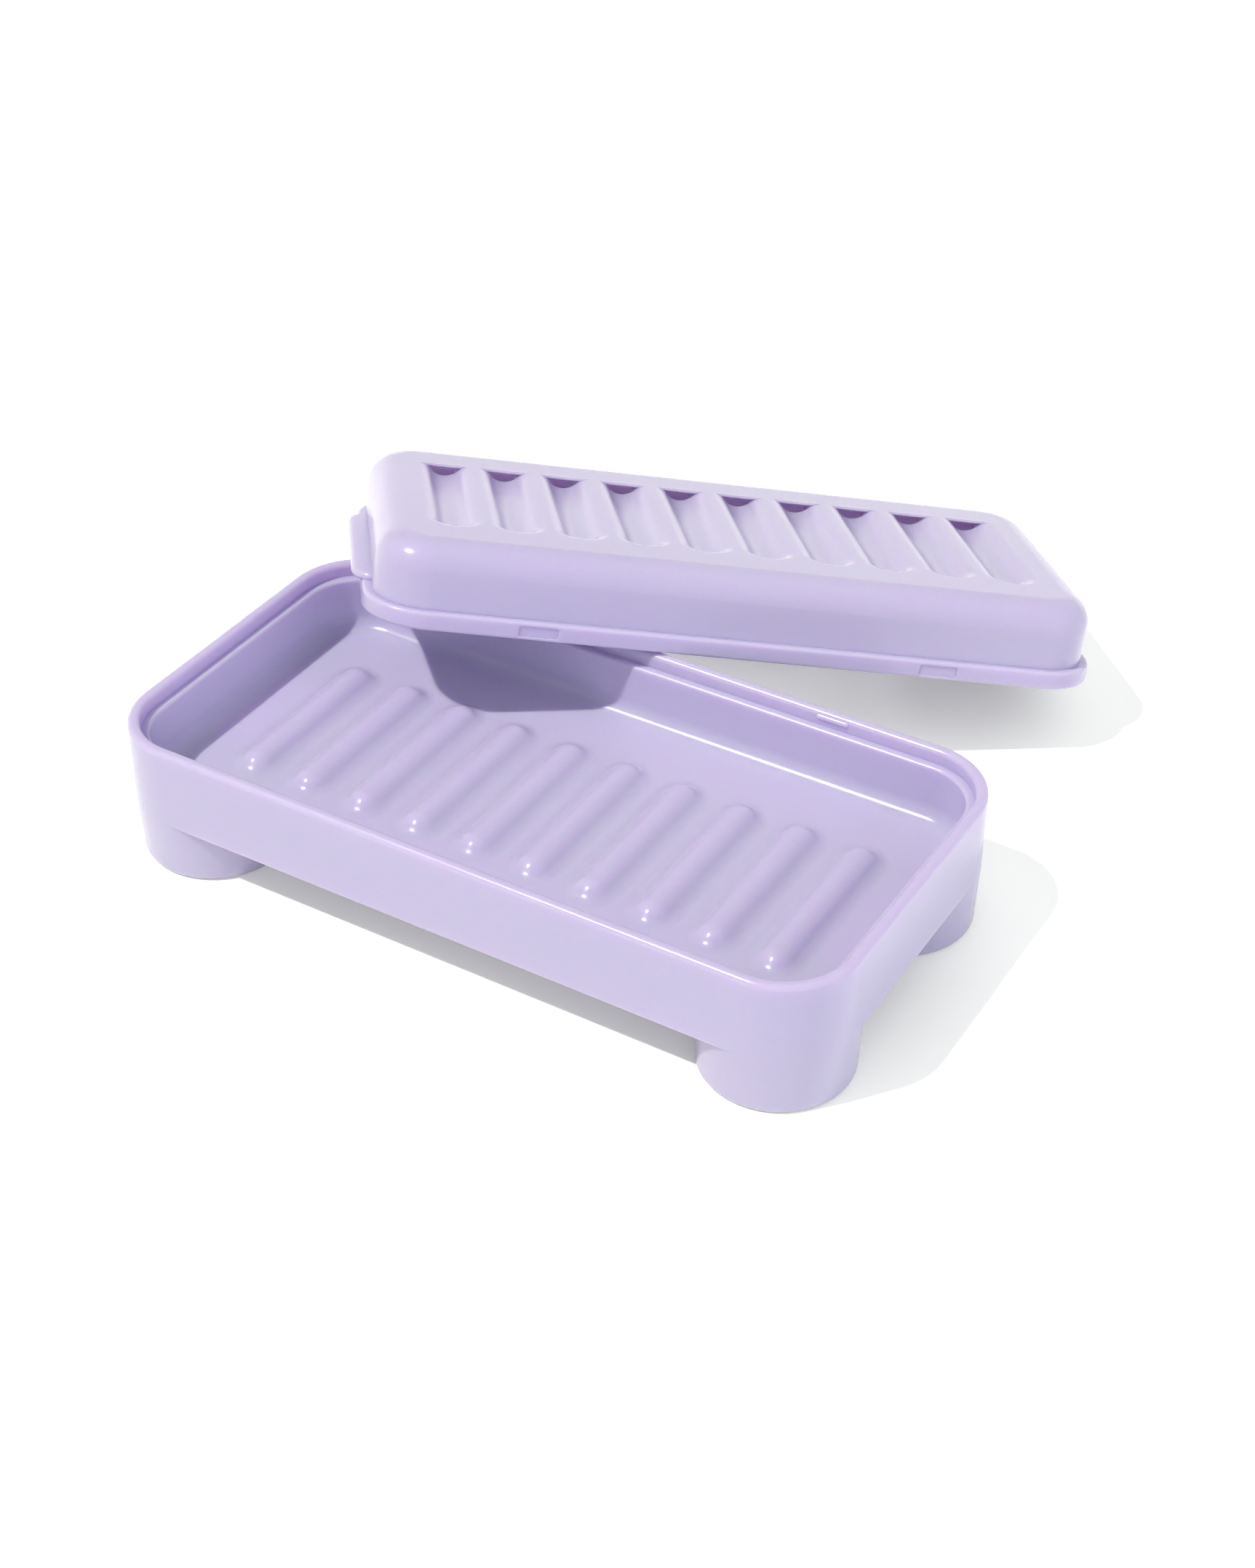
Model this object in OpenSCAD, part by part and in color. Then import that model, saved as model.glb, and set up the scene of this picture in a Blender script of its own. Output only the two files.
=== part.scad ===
// Travel soap box: a tray on four feet and the loose lid that snaps into it.
// The lid is off and leans on the tray's back rim, one corner on the table.
// Millimetres, +Z up, origin on the table under the middle of the tray, +X along the tray.

/* [Tray] */
// Length of the tray
tray_l = 150; // [120:1:200]
// Width of the tray
tray_w = 76; // [64:1:110]
// Height of the rim above the table
tray_h = 28.7; // [26:0.1:40]
// Radius of the corners
corner_r = 14.5; // [13:0.5:18]
// Thickness of the rim
rim_t = 2.3; // [2:0.1:3]
// Width of the ledge that the lid sits on
ledge_w = 1.6; // [1.2:0.1:2.2]
// Depth of the ledge below the rim
ledge_d = 2.9; // [2.4:0.1:3.6]
// Height of the basin floor above the table
floor_z = 14.5; // [13.8:0.1:16.5]
// Thickness of the basin floor
floor_t = 1.9; // [1.5:0.1:2.2]
// Radius of the fillet between the floor and the walls
floor_fillet = 3; // [1:0.1:4]

/* [Feet] */
// Height of the feet below the walls
foot_h = 11.8; // [8:0.1:12]
// How much slimmer the radius is at the table than at the walls
foot_taper = 0.4; // [0:0.1:0.7]
// Wall thickness of the hollow feet
foot_wall = 2.4; // [2.2:0.1:3.2]
// Radius of the feet's edge on the table
foot_edge = 1.2; // [0.5:0.1:1.4]

/* [Lid] */
// Height of the lid
lid_h = 16.5; // [13:0.1:24]
// Wall thickness of the lid
lid_t = 1.8; // [1.4:0.1:2.2]
// Radius of the top edge
crown_r = 5.5; // [3:0.1:6.5]
// Height of the flange round the mouth
flange_h = 3.6; // [3:0.1:5]
// How far the flange stands out from the side walls
flange_step = 1.7; // [1:0.1:2.4]
// Gap all round between the flange and the rim when the box is closed
fit_gap = 0.3; // [0.2:0.05:0.6]

/* [Tab] */
// Length of the finger tab on the lid's left end
tab_l = 40; // [24:1:44]
// How far the tab stands out of the flange
tab_out = 2.1; // [1.2:0.1:3.5]
// Thickness of the tab
tab_t = 1.8; // [1.6:0.1:2.6]
// Gap between the tab and the rim under it when the box is closed
tab_gap = 0.2; // [0.1:0.05:0.5]
// Radius of the tab's edges
tab_edge = 0.8; // [0.3:0.1:0.8]

/* [Waves] */
// Number of troughs in the lid, and of ribs on the floor
wave_n = 10; // [6:1:10]
// Distance from one wave to the next
wave_pitch = 12.4; // [11.6:0.1:12.8]
// Height of a rib on the floor
wave_d = 2.4; // [1.6:0.1:2.8]
// Depth of a trough in the lid
trough_d = 2.65; // [2.2:0.05:2.9]
// Radius of a trough's bottom and of a rib's top
wave_r = 3.6; // [3:0.1:3.8]
// Radius of the bend where a wave meets the flat
bend_r = 3.5; // [3:0.1:3.7]
// Length of the waves, across the box
wave_run = 42; // [30:1:46]
// Thickness of the lid's edge over the open back ends of the troughs
lip_t = 0.5; // [0.4:0.05:1]
// How far back the underside of that edge slopes down to the full thickness
lip_run = 3.2; // [2:0.1:4]

/* [Snaps] */
// Distance of the snaps from the middle of a long side
snap_x = 39.2; // [30:0.1:50]
// Height of the snaps above the ledge
snap_z = 1.75; // [1.4:0.05:1.9]
// Length of a snap bump
bump_l = 6.8; // [4:0.1:10]
// Height of a snap bump
bump_h = 1.2; // [0.8:0.1:1.6]
// How far a bump stands out of the rim
bump_out = 0.45; // [0.35:0.05:0.55]
// Room round a bump in its recess, on every side
snap_room = 0.5; // [0.3:0.05:0.8]
// Depth of the recesses in the flange
recess_d = 0.3; // [0.25:0.05:0.6]

/* [Edges] */
// Radius of the rim's edges
rim_edge = 1; // [0.5:0.1:1]
// Radius of the ledge's edge
ledge_edge = 0.6; // [0.3:0.1:1]
// Radius of the flange's edges
flange_edge = 0.6; // [0.3:0.1:0.9]
// Radius of the lower edge of the walls
low_edge = 0.5; // [0.3:0.1:0.8]

/* [Lean of the lid] */
// Where the lid's front edge rests on the back rim, right of the middle
lean_x = -1.5; // [-20:0.5:25]
// Where the lid's left edge rests on the back left corner, as an angle round it
lean_corner = 110; // [95:1:150]
// Turn of the lid, from the line between those two points
lean_turn = 36; // [25:1:42]
// Gap to the rim and the table
rest_gap = 0.1; // [0.05:0.05:0.5]

/* [Hidden] */
$fn = 96;

lilac = [0.81, 0.77, 0.90];
pale_lilac = [0.85, 0.81, 0.92];

// Tray: the wall from outside to inside, and its levels
wall_t = rim_t + ledge_w;
ledge_z = tray_h - ledge_d;
fillet_end = wall_t + floor_fillet;
// The feet go on straight down from the round corners
foot_x = tray_l / 2 - corner_r;
foot_y = tray_w / 2 - corner_r;
core_r = corner_r - foot_wall;

// Lid: its flange goes inside the rim with fit_gap all round
lid_l = tray_l - 2 * (rim_t + fit_gap);
lid_w = tray_w - 2 * (rim_t + fit_gap);
lid_r = corner_r - rim_t - fit_gap;
mouth_t = flange_step + lid_t;
// The top plate and the ring round it overlap by a third of the way from the crown
// to the middle of a round corner
crown_in = flange_step + crown_r;
plate_in = crown_in + (lid_r - crown_in) / 3;
ring_in = lid_r - (lid_r - crown_in) / 3;

bump_r = bump_h / 2;

// The tab goes half way into the lid's wall, just above the rim when the box is closed
tab_in = tab_out + flange_step + lid_t / 2;
tab_r = 1.1 * tab_in;
tab_z = ledge_d + tab_gap;

// How far a cut runs past the face it starts from
over = 1;

// Waves: half the width of one wave, from its middle to the flat
function wave_half(depth) = sqrt(2 * (wave_r + bend_r) * depth - depth * depth);
wave_end = (wave_n - 1) / 2 * wave_pitch;

// Lean: the inner edges of the flange rest on two points of the rim.
// Seen along the lid's own plane they are the ends of the long side of a right triangle,
// whose right angle is the inner corner of the flange.
corner_mid = [corner_r - tray_l / 2, tray_w / 2 - corner_r];
rest_left = corner_mid + corner_r * [cos(lean_corner), sin(lean_corner)];
rest_right = [lean_x, tray_w / 2];
rest_span = norm(rest_right - rest_left);
skew = atan2(rest_right[1] - rest_left[1], rest_right[0] - rest_left[0]);
mouth_l = lid_l - 2 * mouth_t;
mouth_w = lid_w - 2 * mouth_t;
// The lid's middle, along the line between the two points and down the slope from it
mid_along = rest_span * pow(sin(lean_turn), 2) + (mouth_l * cos(lean_turn) - mouth_w * sin(lean_turn)) / 2;
mid_down = (mouth_l * sin(lean_turn) + mouth_w * cos(lean_turn)) / 2
    - rest_span * sin(lean_turn) * cos(lean_turn);
// Down the slope from the two points to the corner that stands on the table
slope_l = mid_down + (lid_l / 2 - lid_r) * sin(lean_turn) + (lid_w / 2 - lid_r) * cos(lean_turn) + lid_r;
lean = asin(tray_h / slope_l);

// The sliver between a square corner at the origin and its rounding
module sliver(r) {
    difference() {
        square(r);
        translate([r, r]) circle(r);
    }
}

// A rectangle with round corners
module oblong(l, w, r) {
    square([l, w - 2 * r], center = true);
    square([l - 2 * r, w], center = true);
    for (x = [r - l / 2, l / 2 - r], y = [r - w / 2, w / 2 - r])
        translate([x, y]) circle(r);
}

// Carries a wall's section round an oblong. In the section x = 0 is the outer face,
// and the section reaches inwards less than r.
module round_oblong(l, w, r) {
    for (turn = [0 : 3]) {
        out = turn % 2 == 0 ? l / 2 : w / 2;
        across = turn % 2 == 0 ? w / 2 : l / 2;
        rotate([0, 0, 90 * turn]) {
            translate([out, 0, 0]) rotate([90, 0, 0])
                linear_extrude(2 * (across - r), center = true) children();
            translate([out - r, across - r, 0])
                rotate_extrude(angle = 90) translate([r, 0]) children();
        }
    }
}

// Half the section of one wave, standing up from y = -below: a round top and a bend out to the flat
module half_wave(top_r, foot_bend, depth, below) {
    reach = top_r + foot_bend;
    half = sqrt(2 * reach * depth - depth * depth);
    meet = [half * top_r / reach, depth * foot_bend / reach];
    intersection() {
        translate([0, depth - top_r]) circle(top_r);
        translate([0, -below]) square([top_r, below + depth]);
    }
    difference() {
        polygon([[0, -below], [half, -below], [half, 0], meet, [0, meet[1]]]);
        translate([half, foot_bend]) circle(foot_bend);
    }
}

// The whole section of one wave
module wave_section(top_r, foot_bend, depth, below) {
    for (side = [0, 1])
        mirror([side, 0]) half_wave(top_r, foot_bend, depth, below);
}

// One wave with round ends, or with its back end cut off square at y = square_at
module wave(top_r, foot_bend, depth, below, square_at = 0) {
    front = wave_run / 2 - wave_half(depth);
    back = square_at > 0 ? square_at : front;
    translate([0, -front, 0]) rotate([90, 0, 180])
        linear_extrude(back + front) wave_section(top_r, foot_bend, depth, below);
    for (end = square_at > 0 ? [180] : [0, 180])
        rotate([0, 0, end]) translate([0, front, 0])
            rotate_extrude(angle = 180) half_wave(top_r, foot_bend, depth, below);
}

// Sets its child at every wave
module each_wave() {
    for (i = [0 : wave_n - 1])
        translate([i * wave_pitch - wave_end, 0, 0]) children();
}

module tray_section() {
    difference() {
        polygon([
            [0, foot_h], [0, tray_h], [-rim_t, tray_h], [-rim_t, ledge_z], [-wall_t, ledge_z],
            [-wall_t, floor_z], [-fillet_end, floor_z], [-fillet_end, floor_z - floor_t],
            [-wall_t, floor_z - floor_t], [-wall_t, foot_h]
        ]);
        translate([0, foot_h]) rotate(90) sliver(low_edge);
        translate([0, tray_h]) rotate(180) sliver(rim_edge);
        translate([-rim_t, tray_h]) rotate(-90) sliver(rim_edge);
        translate([-wall_t, ledge_z]) rotate(-90) sliver(ledge_edge);
    }
    translate([-wall_t, floor_z]) rotate(90) sliver(floor_fillet);
}

module foot() {
    table_r = corner_r - foot_taper;
    // The foot runs up to half way through the floor
    top = floor_z - floor_t / 2;
    rotate_extrude() difference() {
        polygon([
            [core_r, 0], [table_r, 0], [table_r, foot_edge],
            [corner_r, foot_h], [corner_r, top], [core_r, top]
        ]);
        translate([table_r, 0]) rotate(90) sliver(foot_edge);
    }
}

// Sets its child at every foot
module each_foot() {
    for (x = [-foot_x, foot_x], y = [-foot_y, foot_y])
        translate([x, y, 0]) children();
}

// A thin round-ended bump, half sunk in the rim's inner face
module snap_bump() {
    half = bump_l / 2 - bump_r;
    rotate([0, 90, 0]) cylinder(h = 2 * half, r = bump_r, center = true);
    for (side = [-1, 1]) translate([side * half, 0, 0]) sphere(bump_r);
}

module tray_shape() {
    difference() {
        union() {
            round_oblong(tray_l, tray_w, corner_r) tray_section();
            translate([0, 0, floor_z - floor_t]) linear_extrude(floor_t)
                oblong(tray_l - wall_t, tray_w - wall_t, corner_r - wall_t / 2);
            translate([0, 0, floor_z]) each_wave() wave(wave_r, bend_r, wave_d, floor_t / 2);
        }
        // The ribs are hollow from below, so that the floor keeps one thickness,
        // but they stay solid over the walls of the feet
        difference() {
            translate([0, 0, floor_z - floor_t]) each_wave()
                wave(wave_r - floor_t, bend_r + floor_t, wave_d, over);
            each_foot() translate([0, 0, floor_z - floor_t - over]) rotate_extrude()
                translate([core_r, 0]) square([foot_wall, wave_d + 2 * over]);
        }
    }
    each_foot() foot();
    for (x = [-snap_x, snap_x], side = [-1, 1])
        translate([x, side * (tray_w / 2 - rim_t - bump_out + bump_r), ledge_z + snap_z]) snap_bump();
}

module lid_section() {
    difference() {
        union() {
            translate([-mouth_t, 0]) square([mouth_t, flange_h]);
            translate([-mouth_t, 0]) square([lid_t, lid_h - crown_r]);
        }
        rotate(90) sliver(flange_edge);
        translate([0, flange_h]) rotate(180) sliver(flange_edge);
    }
    intersection() {
        translate([-flange_step - crown_r, lid_h - crown_r]) difference() {
            circle(crown_r);
            circle(crown_r - lid_t);
        }
        translate([-flange_step - crown_r, lid_h - crown_r]) square(crown_r);
    }
    translate([-ring_in, lid_h - lid_t]) square([ring_in - crown_in, lid_t]);
}

module tab_section() {
    difference() {
        translate([-0.95 * tab_r, 0]) square([0.95 * tab_r, tab_t]);
        rotate(90) sliver(tab_edge);
        translate([0, tab_t]) rotate(180) sliver(tab_edge);
    }
}

// The left end of a round-cornered slab, cut off inside the lid's wall
module tab_shape() {
    tip = -lid_l / 2 - tab_out;
    intersection() {
        translate([tip + 2 * tab_r, 0, tab_z]) round_oblong(4 * tab_r, tab_l, tab_r) tab_section();
        translate([tip - over, -tab_l / 2 - over, tab_z - over])
            cube([over + tab_in, tab_l + 2 * over, tab_t + 2 * over]);
    }
}

// What the troughs take out of the top plate, with z = 0 at the top. Their front ends are round.
// At the back they run on under the plate's edge, as vents into the lid, below a sloping lip.
module trough_cuts() {
    back = wave_run / 2;
    low = trough_d + over;
    far = back + lip_run * (low - lip_t) / (lid_t - lip_t);
    intersection() {
        each_wave() mirror([0, 0, 1]) wave(wave_r, bend_r, trough_d, over, far + over);
        rotate([90, 0, 90]) linear_extrude(2 * wave_end + 2 * wave_pitch, center = true)
            polygon([
                [-back - over, 2 * over], [back, 2 * over], [back, -lip_t], [far, -low], [-back - over, -low]
            ]);
    }
}

module lid_shape() {
    difference() {
        union() {
            round_oblong(lid_l, lid_w, lid_r) lid_section();
            translate([0, 0, lid_h - lid_t]) linear_extrude(lid_t)
                oblong(lid_l - 2 * plate_in, lid_w - 2 * plate_in, lid_r - plate_in);
            translate([0, 0, lid_h - lid_t]) each_wave() mirror([0, 0, 1])
                wave(wave_r + lid_t, bend_r - lid_t, trough_d, lid_t / 2, (wave_run + lid_t) / 2);
            tab_shape();
        }
        translate([0, 0, lid_h]) trough_cuts();
        for (x = [-snap_x, snap_x], side = [-1, 1])
            translate([x, side * lid_w / 2, snap_z]) rotate([90, 0, 0])
                linear_extrude(2 * recess_d, center = true)
                    oblong(bump_l + 2 * snap_room, bump_h + 2 * snap_room, bump_r);
    }
}

module tray() {
    color(lilac) tray_shape();
}

module lid() {
    color(pale_lilac)
        translate([rest_left[0], rest_left[1], tray_h + rest_gap]) rotate([0, 0, skew]) rotate([-lean, 0, 0])
            translate([mid_along, mid_down, 0]) rotate([0, 0, lean_turn]) lid_shape();
}

tray();
lid();
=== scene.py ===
"""The look of a travel soap box: a lilac moulded tray and its loose lid, on a white table.

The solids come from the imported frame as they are. This script gives them their plastic,
and adds the table, the lights and the camera.
"""
import math

import bpy
from mathutils import Matrix, Vector

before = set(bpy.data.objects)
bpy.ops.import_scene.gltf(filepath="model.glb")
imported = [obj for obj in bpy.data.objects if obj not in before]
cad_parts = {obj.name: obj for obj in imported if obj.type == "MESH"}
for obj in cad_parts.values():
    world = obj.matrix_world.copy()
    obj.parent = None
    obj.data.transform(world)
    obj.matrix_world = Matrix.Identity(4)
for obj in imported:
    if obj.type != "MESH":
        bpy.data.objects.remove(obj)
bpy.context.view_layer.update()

# Lengths are in metres, angles in degrees, and colours scene-linear

# The photograph's camera, from the tray's outlines
CAMERA_PLACE = (0.2065, -0.3171, 0.3027)
CAMERA_AZIMUTH = 30.94
CAMERA_ELEVATION = 36.72
CAMERA_ROLL = 0.118
FOCAL_PX = 3533
PHOTO_HEIGHT_PX = 2156
SENSOR_MM = 36
CLIP_START = 0.01

# The key light comes from the photograph's left and a little from the front:
# it moves a shadow by this much along X and Y for each unit of height
SHADOW_STEP = (0.39, 0.49)
KEY_STRENGTH = 2.45
KEY_ANGLE = 1.6
KEY_COLOUR = (1.0, 0.975, 0.94)

# The room's light: its level at the front and at the back, and overhead as a share of that
ROOM_COLOUR = (0.90, 0.93, 1.0)
FILL_FRONT = 0.15
FILL_BACK = 0.60
FILL_TOP = 0.6
# A pale wall at the right: the way to its middle, and the cosine off that way where it ends
WALL_WAY = (0.93, -0.35, 0.1)
WALL_END = 0.3
WALL_STRENGTH = 1.1
# Reflections find the backdrop white up to the first height, and at its top level
# from the second, as the sine of the way up
SWEEP_HEIGHTS = (0.1, 0.6)
SWEEP_TOP = 0.3

# The table: its albedo to the object's light, and its colour and painted glow to the camera
TABLE_HALF = 3.0
CARD = 0.90
SEEN_CARD = (0.94, 0.96, 0.84)
# Painted light and shade: the camera's glow lightens the table's cast shadow and is weakest close
# to the object, where a painted shade deepens: how far that reaches, the open shares between which it grows,
# and its levels there
SHADE_REACH = 0.038
SHADE_OPEN = (0.25, 0.8)
PAINTED_GLOW = (0.20, 0.52)

# The plastic. Noise scales are cells in a metre.
LILAC_DEEP = (0.585, 0.54, 0.74, 1)
LILAC_PALE = (0.605, 0.56, 0.755, 1)
IOR = 1.49
# Each node's noise is taken from another place, this much further on
SEED_STEP = (0.37, 0.11, 0.23)
# The colour drifts over some 40 mm, as the melt flowed
FLOW = {"Scale": 22.0, "Detail": 2.0, "Roughness": 0.4, "Distortion": 0.4}
# The gloss is cloudy at 8 mm: the noise levels that bound it, and the roughness at them
CLOUD = {"Scale": 120.0, "Detail": 4.0, "Roughness": 0.55}
CLOUD_LEVELS = (0.3, 0.7)
GLOSS = (0.21, 0.26)
# Relief: the soft unevenness of a moulded wall, and a fine grain
SWELL = {"Scale": 45.0, "Detail": 1.0, "Roughness": 0.4}
SWELL_BUMP = {"Strength": 0.2, "Distance": 0.0001}
GRAIN = {"Scale": 1500.0, "Detail": 2.0, "Roughness": 0.5}
GRAIN_BUMP = {"Strength": 0.06, "Distance": 0.00002}
# How light goes into the plastic, its reach given for red, green and blue
INSIDE = {"Subsurface Weight": 0.85, "Subsurface Radius": (1.0, 0.55, 0.95), "Subsurface Scale": 0.0042}

WHITE = (1, 1, 1, 1)
# Sockets 6 and 7 of a Mix node are its colours A and B
MIX_A, MIX_B = 6, 7


class Nodes:
    """Fills the node tree of a material or a world, with few words."""

    def __init__(self, owner):
        owner.use_nodes = True
        self.tree = owner.node_tree
        self.tree.nodes.clear()

    def add(self, kind, links=None, inputs=None, **settings):
        """Add a node: links are sources, inputs are values, both by socket."""
        node = self.tree.nodes.new(kind)
        for name, value in settings.items():
            setattr(node, name, value)
        for socket, value in (inputs or {}).items():
            node.inputs[socket].default_value = value
        for socket, source in (links or {}).items():
            self.tree.links.new(source, node.inputs[socket])
        return node

    def noise(self, place, inputs):
        return self.add("ShaderNodeTexNoise", {"Vector": place}, inputs).outputs["Fac"]

    def math(self, operation, one, two):
        return self.add("ShaderNodeMath", {0: one, 1: two}, operation=operation).outputs[0]

    def ramp(self, source, bounds, levels, kind="LINEAR"):
        """Map the bounds of a source to two levels, and no further."""
        inputs = dict(zip(("From Min", "From Max", "To Min", "To Max"), (*bounds, *levels)))
        return self.add("ShaderNodeMapRange", {"Value": source}, inputs, interpolation_type=kind).outputs[0]

    def mix(self, share, one, two):
        return self.add("ShaderNodeMixShader", {0: share, 1: one, 2: two}).outputs[0]

    def seen(self):
        """1 for what the camera sees, straight or by way of gloss or glass, and 0 for other light."""
        path = self.add("ShaderNodeLightPath").outputs
        straight_or_gloss = self.math("MAXIMUM", path["Is Camera Ray"], path["Is Glossy Ray"])
        return self.math("MAXIMUM", straight_or_gloss, path["Is Transmission Ray"])


def plastic(name, seed):
    """Pale lilac polypropylene: glossy, with some depth, and a faint drift of colour and gloss."""
    material = bpy.data.materials.new(name)
    n = Nodes(material)
    place = n.add("ShaderNodeVectorMath", {0: n.add("ShaderNodeTexCoord").outputs["Object"]},
        {1: [seed * step for step in SEED_STEP]}, operation="ADD").outputs[0]

    tint = n.add("ShaderNodeMix", {0: n.noise(place, FLOW)}, {MIX_A: LILAC_DEEP, MIX_B: LILAC_PALE},
        data_type="RGBA")
    rough = n.ramp(n.noise(place, CLOUD), CLOUD_LEVELS, GLOSS)
    soft = n.add("ShaderNodeBump", {"Height": n.noise(place, SWELL)}, SWELL_BUMP)
    fine = n.add("ShaderNodeBump", {"Height": n.noise(place, GRAIN), "Normal": soft.outputs[0]}, GRAIN_BUMP)

    shader = n.add("ShaderNodeBsdfPrincipled",
        {"Base Color": tint.outputs[2], "Roughness": rough, "Normal": fine.outputs[0]},
        {"IOR": IOR, **INSIDE})
    n.add("ShaderNodeOutputMaterial", {"Surface": shader.outputs[0]})
    return material


def table_top():
    """White card to the object; white to the camera and to reflections, with the shadow kept but lightened by
    a painted glow and deepened near the object by painted shade.
    """
    material = bpy.data.materials.new("table_white")
    n = Nodes(material)
    card = n.add("ShaderNodeBsdfDiffuse", inputs={"Color": (CARD, CARD, CARD, 1)})
    seen_card = n.add("ShaderNodeBsdfDiffuse", inputs={"Color": (*SEEN_CARD, 1)})
    # Painted shade: ambient occlusion dims the glow close to the object, so the shadow is painted deeper
    # there and fades away from it
    painted_shade_ao = n.add("ShaderNodeAmbientOcclusion", inputs={"Distance": SHADE_REACH})
    painted_glow = n.add("ShaderNodeEmission", {"Strength": n.ramp(painted_shade_ao.outputs["AO"], SHADE_OPEN, PAINTED_GLOW)},
        {"Color": WHITE})
    seen_table = n.add("ShaderNodeAddShader", {0: seen_card.outputs[0], 1: painted_glow.outputs[0]})
    top = n.mix(n.seen(), card.outputs[0], seen_table.outputs[0])
    # From below the table is clear, so that the object's underside shows
    side = n.add("ShaderNodeNewGeometry").outputs["Backfacing"]
    clear = n.add("ShaderNodeBsdfTransparent").outputs[0]
    n.add("ShaderNodeOutputMaterial", {"Surface": n.mix(side, top, clear)})
    return material


def add_table():
    half = TABLE_HALF
    corners = [(-half, -half, 0), (half, -half, 0), (half, half, 0), (-half, half, 0)]
    mesh = bpy.data.meshes.new("table")
    mesh.from_pydata(corners, [], [(0, 1, 2, 3)])
    mesh.materials.append(table_top())
    table = bpy.data.objects.new("table", mesh)
    bpy.context.collection.objects.link(table)


def add_world():
    """A pale room with a brighter side. The camera sees white, and reflections see it up to a height."""
    world = bpy.data.worlds.new("studio")
    bpy.context.scene.world = world
    n = Nodes(world)
    way = n.add("ShaderNodeTexCoord").outputs["Generated"]
    parts = n.add("ShaderNodeSeparateXYZ", {0: way}).outputs
    facing = n.add("ShaderNodeVectorMath", {0: way}, {1: WALL_WAY}, operation="DOT_PRODUCT")

    depth = n.ramp(parts["Y"], (-1, 1), (FILL_FRONT, FILL_BACK))
    falloff = n.ramp(parts["Z"], (0, 1), (1, FILL_TOP))
    wall = n.ramp(facing.outputs["Value"], (WALL_END, 1), (0, WALL_STRENGTH), "SMOOTHSTEP")
    strength = n.math("ADD", n.math("MULTIPLY", depth, falloff), wall)
    room = n.add("ShaderNodeBackground", {"Strength": strength}, {"Color": (*ROOM_COLOUR, 1)})

    to_camera = n.add("ShaderNodeLightPath").outputs["Is Camera Ray"]
    sweep = n.ramp(parts["Z"], SWEEP_HEIGHTS, (1, SWEEP_TOP))
    white = n.add("ShaderNodeBackground", {"Strength": n.math("MAXIMUM", sweep, to_camera)}, {"Color": WHITE})
    n.add("ShaderNodeOutputWorld", {"Surface": n.mix(n.seen(), room.outputs[0], white.outputs[0])})


def add_key():
    light = bpy.data.lights.new("key", "SUN")
    light.energy = KEY_STRENGTH
    light.color = KEY_COLOUR
    light.angle = math.radians(KEY_ANGLE)
    lamp = bpy.data.objects.new("key", light)
    bpy.context.collection.objects.link(lamp)
    down = Vector((*SHADOW_STEP, -1))
    lamp.rotation_euler = down.to_track_quat("-Z", "Y").to_euler()


def add_camera():
    data = bpy.data.cameras.new("camera")
    data.sensor_fit = "VERTICAL"
    data.sensor_height = SENSOR_MM
    data.lens = FOCAL_PX / PHOTO_HEIGHT_PX * SENSOR_MM
    data.clip_start = CLIP_START
    camera = bpy.data.objects.new("camera", data)
    bpy.context.collection.objects.link(camera)
    camera.matrix_world = (
        Matrix.Translation(CAMERA_PLACE)
        @ Matrix.Rotation(math.radians(CAMERA_AZIMUTH), 4, "Z")
        @ Matrix.Rotation(math.radians(90 - CAMERA_ELEVATION), 4, "X")
        @ Matrix.Rotation(math.radians(CAMERA_ROLL), 4, "Z"))
    bpy.context.scene.camera = camera


def dress():
    for seed, (name, node) in enumerate(sorted(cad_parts.items())):
        node.data.materials.clear()
        node.data.materials.append(plastic(name + "_plastic", seed))


dress()
add_table()
add_world()
add_key()
add_camera()
bpy.context.scene.view_settings.view_transform = "Standard"
